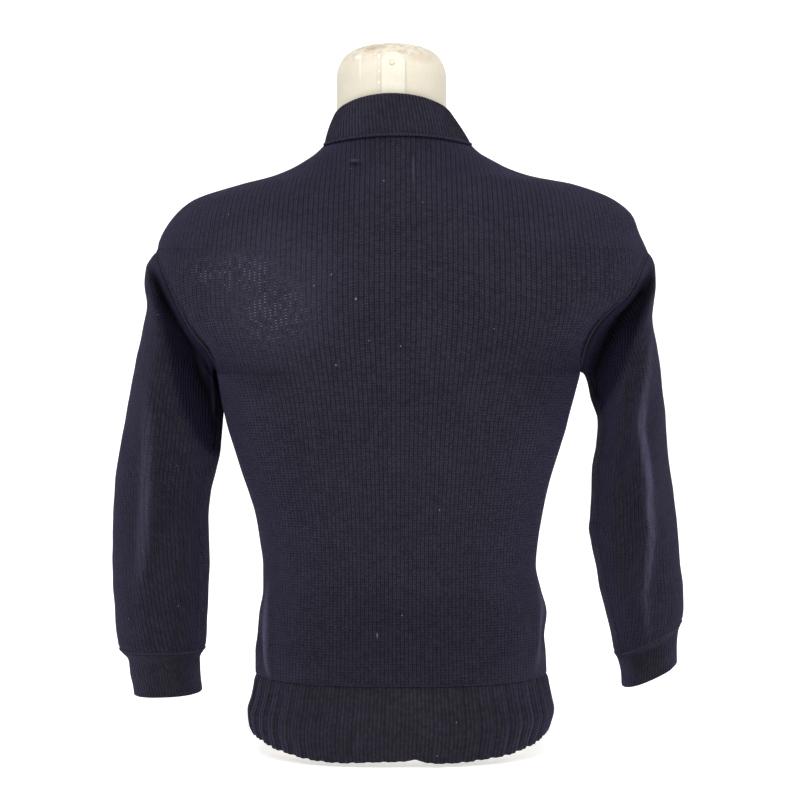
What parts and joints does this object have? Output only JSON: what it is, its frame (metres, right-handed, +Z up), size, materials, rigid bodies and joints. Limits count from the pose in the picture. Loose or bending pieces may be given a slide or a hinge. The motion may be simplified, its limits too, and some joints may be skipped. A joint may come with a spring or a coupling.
{
  "type": "naval sweater on a limbless dress form",
  "caption": "Knitted pullover with a stand collar, set-in sleeves, cuffs and a ribbed welt, worn by a smooth torso form that stands on its base",
  "frame": {"origin": "the middle of the dress form's flat base, on the surface it stands on", "axes": "+Z up, the sweater's front faces -Y and its back +Y, the wearer's left is +X"},
  "size_m": [0.574, 0.2469, 0.706],
  "materials": {
    "cloth_knit": "plain knitted dark navy wool",
    "rib_knit": "ribbed dark navy wool",
    "form_shell": "aged cream paint",
    "strap_plate": "pale satin",
    "screw_metal": "dull metal"
  },
  "bodies": {
    "root": {"back_panel": "cloth_knit", "front_panel": "cloth_knit", "sleeve_left": "cloth_knit", "sleeve_right": "cloth_knit", "cuff_left": "rib_knit", "cuff_right": "rib_knit", "collar": "rib_knit", "welt_back": "rib_knit", "welt_front": "rib_knit", "dress_form": "form_shell", "neck_strap": "strap_plate", "strap_screw": "screw_metal"}
  },
  "joints": []
}
